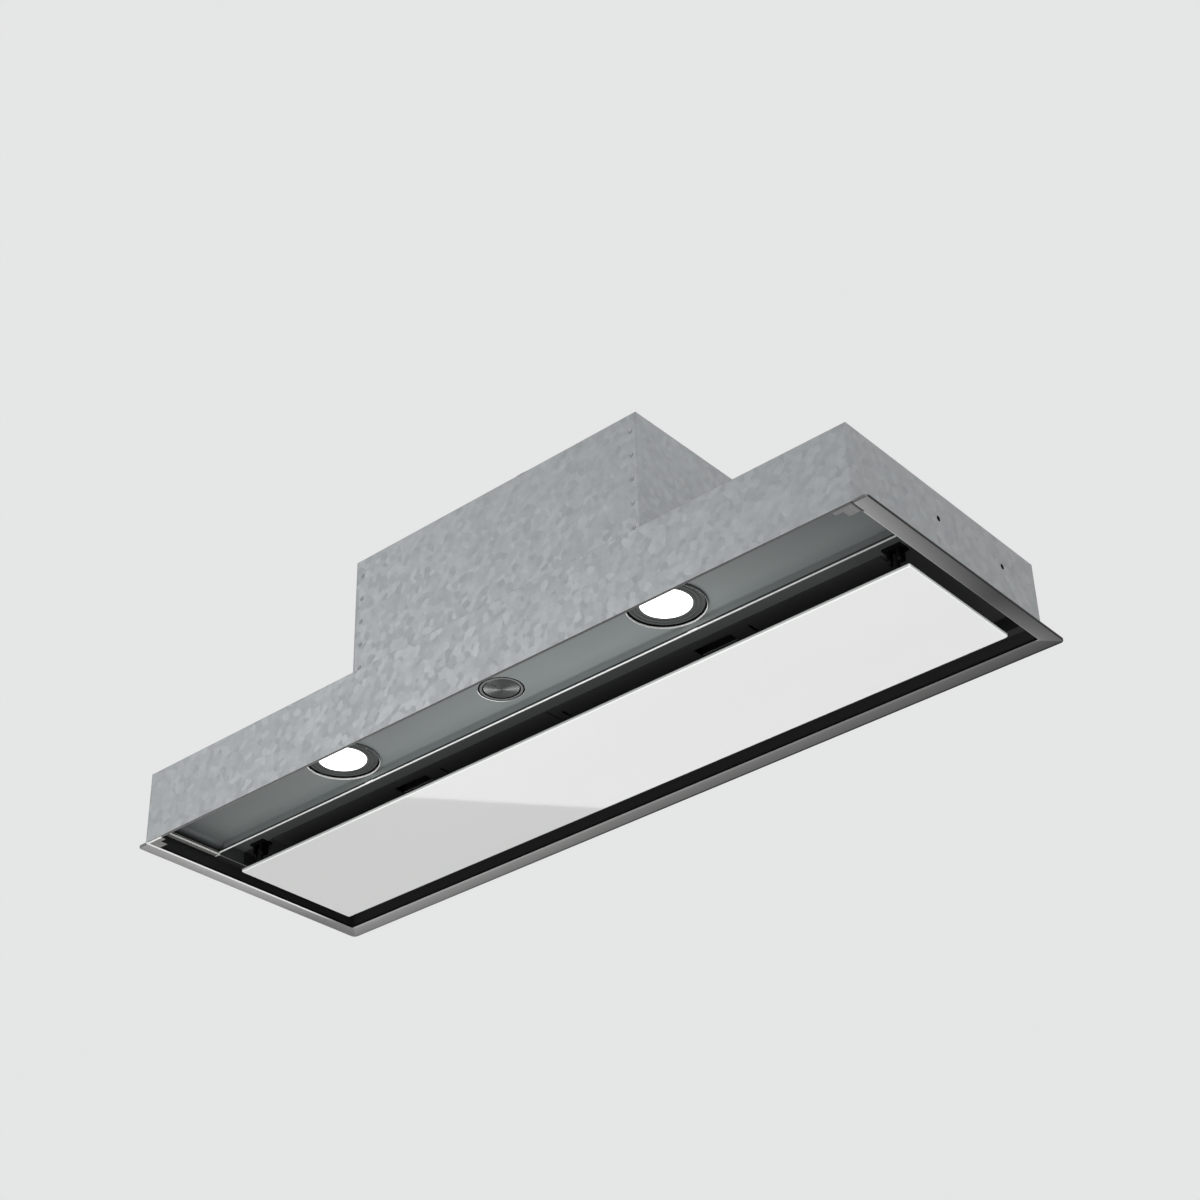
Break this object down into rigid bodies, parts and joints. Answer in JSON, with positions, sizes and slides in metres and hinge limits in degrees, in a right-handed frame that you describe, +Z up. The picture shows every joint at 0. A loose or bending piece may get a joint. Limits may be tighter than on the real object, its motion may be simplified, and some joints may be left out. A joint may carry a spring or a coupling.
{
  "type": "range hood insert",
  "caption": "Built-in range hood insert: flush steel trim frame, hinged white glass suction panel, recessed lamp panel with a push-and-turn knob, blower box and round duct outlet.",
  "frame": {"origin": "middle of the trim frame's underside, which is flush with the glass panel", "axes": "+X to the right seen from the front, +Y to the rear wall, +Z up to the duct outlet"},
  "size_m": [0.898, 0.302, 0.29],
  "materials": {
    "brushed_steel": "brushed stainless steel sheet",
    "black_steel": "black satin enamel on steel sheet",
    "grey_panel": "satin grey paint on steel sheet",
    "galvanised": "galvanised steel sheet",
    "bezel_plastic": "dark grey moulded plastic",
    "lamp_diffuser": "opal diffuser, lit",
    "spun_metal": "spun metal with circular grain",
    "white_glass": "clear plate glass painted white on its back",
    "filter_wire": "pleated expanded aluminium mesh",
    "black_plastic": "black moulded plastic",
    "pin_steel": "zinc-plated turned steel",
    "heat_sink": "cast aluminium",
    "circuit_board": "green board",
    "grey_plastic": "grey moulded plastic",
    "motor_paint": "dark enamel"
  },
  "bodies": {
    "housing": {"trim_frame": "brushed_steel", "suction_frame": "black_steel", "filter_frame_left": "black_steel", "filter_frame_right": "black_steel", "hinge_bracket_left": "black_steel", "hinge_bracket_right": "black_steel", "lamp_panel": "grey_panel", "casing_wrap": "galvanised", "casing_end_left": "galvanised", "casing_end_right": "galvanised", "partition_plate": "galvanised", "blower_wrap": "galvanised", "blower_end_left": "galvanised", "blower_end_right": "galvanised", "motor_bracket": "galvanised", "lamp_bezel_left": "bezel_plastic", "lamp_bezel_right": "bezel_plastic", "knob_bezel": "bezel_plastic", "lamp_lens_left": "lamp_diffuser", "lamp_lens_right": "lamp_diffuser", "filter_mesh_left": "filter_wire", "filter_mesh_right": "filter_wire", "catch_left": "black_plastic", "catch_right": "black_plastic", "outlet_collar": "black_plastic", "scroll_left": "black_plastic", "scroll_right": "black_plastic", "cable_gland": "black_plastic", "hinge_pin_left": "pin_steel", "hinge_pin_right": "pin_steel", "damper_pin": "pin_steel", "casing_screws": "pin_steel", "blower_screws": "pin_steel", "collar_screws": "pin_steel", "led_module_left": "heat_sink", "led_module_right": "heat_sink", "control_board": "circuit_board", "control_housing": "grey_plastic", "encoder_body": "grey_plastic", "led_driver": "grey_plastic", "terminal_box": "grey_plastic", "terminal_lid": "grey_plastic", "motor": "motor_paint"},
    "panel": {"glass_panel": "white_glass", "panel_carrier": "black_steel", "panel_strike_left": "black_steel", "panel_strike_right": "black_steel"},
    "encoder_rotor": {"encoder_rotor": "grey_plastic"},
    "knob": {"control_knob": "spun_metal", "knob_shaft": "pin_steel"},
    "latch_left": {"filter_latch_left": "black_plastic"},
    "latch_right": {"filter_latch_right": "black_plastic"},
    "fan": {"impeller": "black_plastic", "fan_shaft": "pin_steel"},
    "flap_left": {"damper_flap_left": "black_plastic"},
    "flap_right": {"damper_flap_right": "black_plastic"}
  },
  "joints": [
    {"name": "panel_hinge", "type": "hinge", "parent": "housing", "child": "panel", "pos_m": [0, 0.105, 0.013], "axis": [1, 0, 0], "range_deg": [0, 90]},
    {"name": "knob_turn", "type": "hinge", "parent": "housing", "child": "encoder_rotor", "pos_m": [0, -0.094, 0.04], "axis": [0, 0, 1], "continuous": true},
    {"name": "knob_push", "type": "slide", "parent": "encoder_rotor", "child": "knob", "axis": [0, 0, 1], "range_m": [0, 0.0015], "stiffness_N_per_m": 1500, "springref_m": -0.001},
    {"name": "latch_slide_left", "type": "slide", "parent": "housing", "child": "latch_left", "axis": [0, 1, 0], "range_m": [0, 0.006], "stiffness_N_per_m": 300, "springref_m": -0.003},
    {"name": "latch_slide_right", "type": "slide", "parent": "housing", "child": "latch_right", "axis": [0, 1, 0], "range_m": [0, 0.006], "stiffness_N_per_m": 300, "springref_m": -0.003},
    {"name": "fan_spin", "type": "hinge", "parent": "housing", "child": "fan", "pos_m": [0, -0.016, 0.146], "axis": [1, 0, 0], "continuous": true},
    {"name": "flap_swing_left", "type": "hinge", "parent": "housing", "child": "flap_left", "pos_m": [0, 0.01, 0.259], "axis": [0, 1, 0], "range_deg": [0, 80]},
    {"name": "flap_swing_right", "type": "hinge", "parent": "housing", "child": "flap_right", "pos_m": [0, 0.01, 0.259], "axis": [0, -1, 0], "range_deg": [0, 80]}
  ]
}
